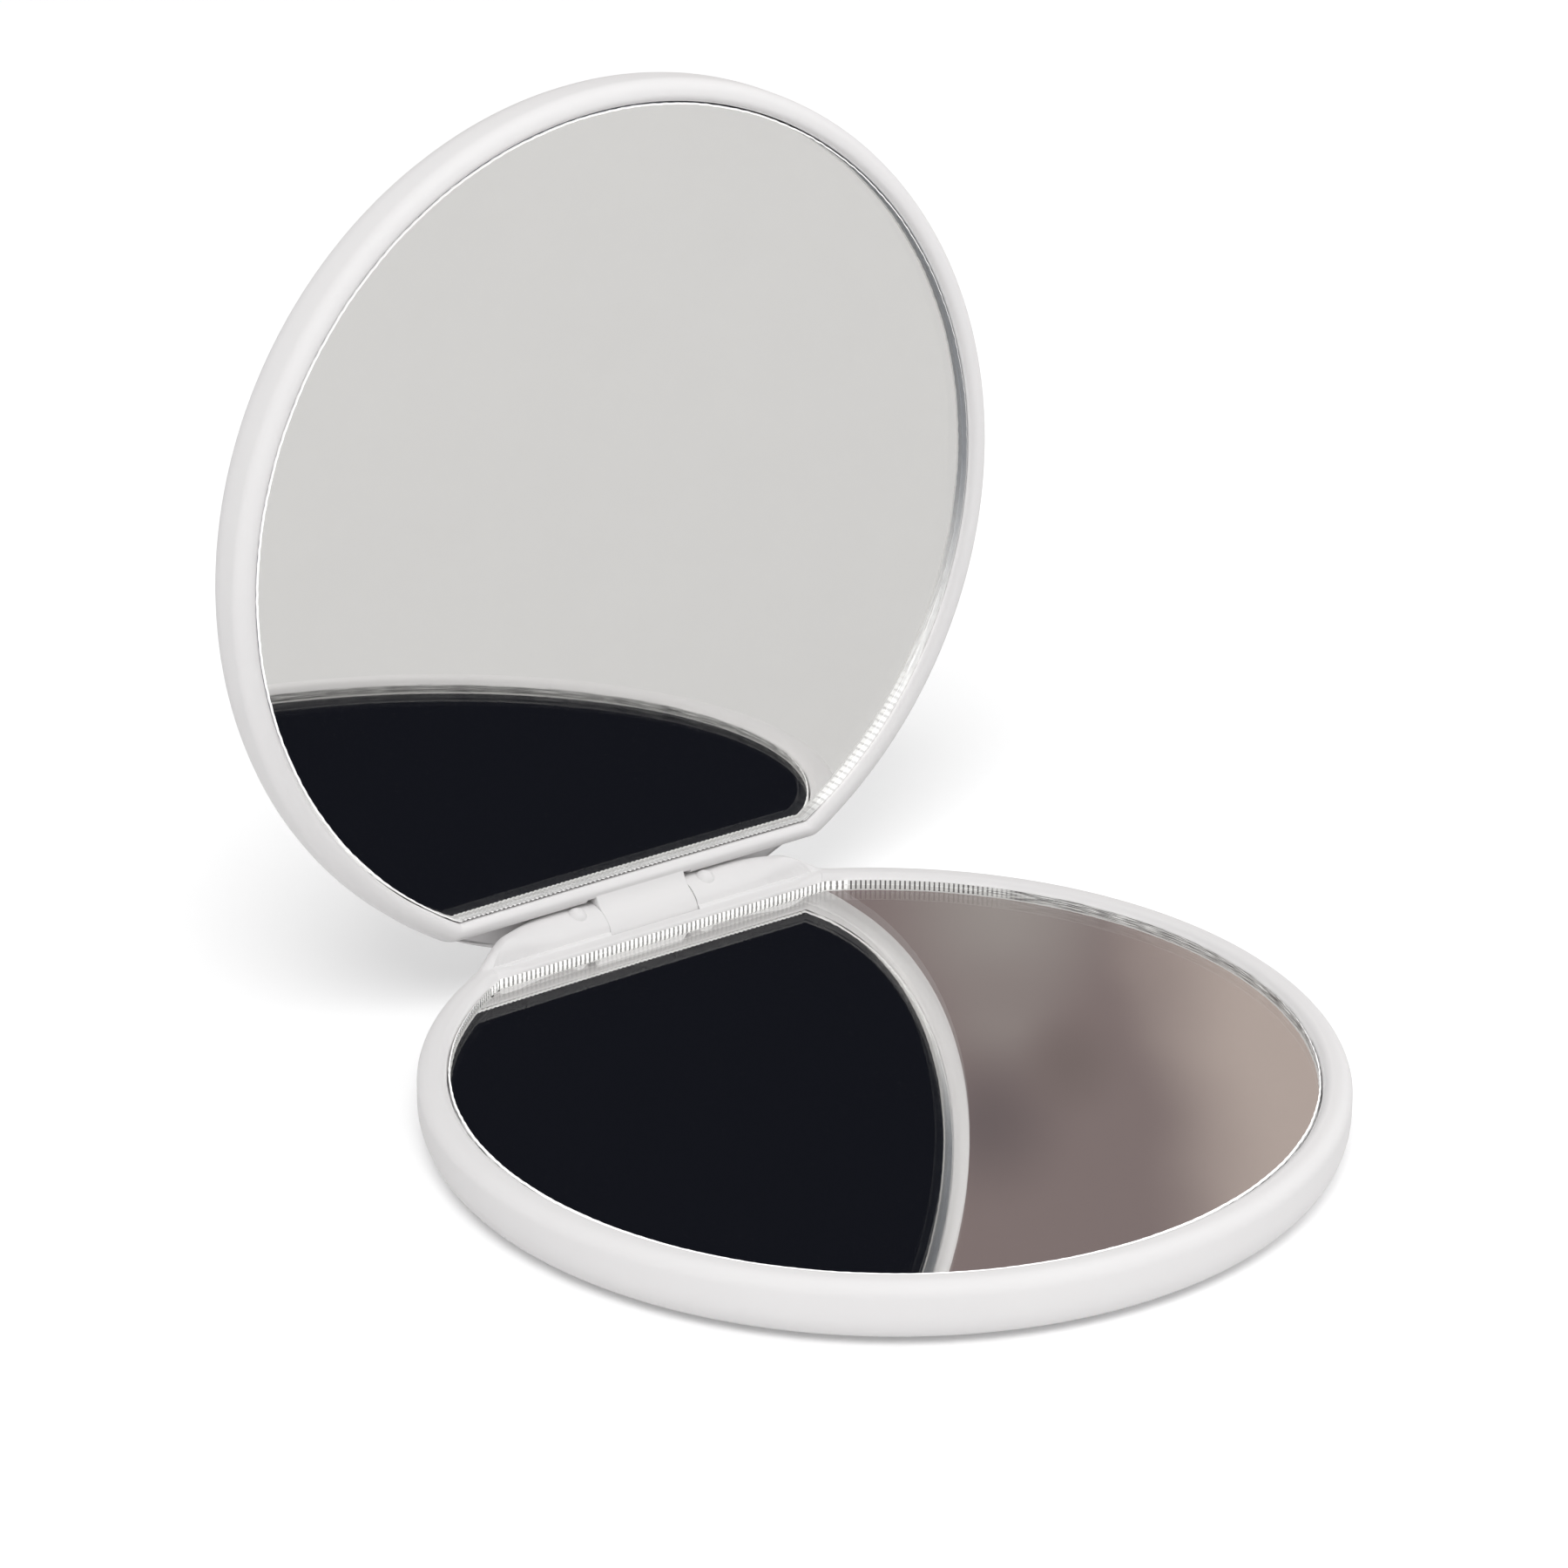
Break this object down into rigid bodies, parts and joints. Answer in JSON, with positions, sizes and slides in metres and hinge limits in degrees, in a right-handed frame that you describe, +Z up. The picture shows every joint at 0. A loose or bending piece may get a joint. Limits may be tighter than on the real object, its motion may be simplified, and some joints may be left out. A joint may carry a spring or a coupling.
{
  "type": "magnifying mirror",
  "caption": "Round folding pocket mirror with a flat mirror in its base and a concave magnifying mirror in its hinged lid, shown standing open.",
  "frame": {"origin": "middle of the flat underside of the base", "axes": "+Z up out of the base mirror, +Y from the middle of the base towards the hinge, X along the hinge pin"},
  "size_m": [0.07, 0.0748, 0.0721],
  "materials": {
    "white_plastic": "fine matte moulded",
    "mirror_plate": "silvered on the back, polished",
    "tape_foam": "matte foam",
    "pin_steel": "drawn wire"
  },
  "bodies": {
    "base": {"base_shell": "white_plastic", "base_mirror": "mirror_plate", "base_mirror_tape": "tape_foam", "hinge_pin": "pin_steel"},
    "lid": {"lid_shell": "white_plastic", "lid_mirror": "mirror_plate", "lid_mirror_tape": "tape_foam"}
  },
  "joints": [
    {"name": "lid_hinge", "type": "hinge", "parent": "base", "child": "lid", "pos_m": [0, 0.0319, 0.0053], "axis": [-1, 0, 0], "range_deg": [-92.3, 2.5]}
  ]
}
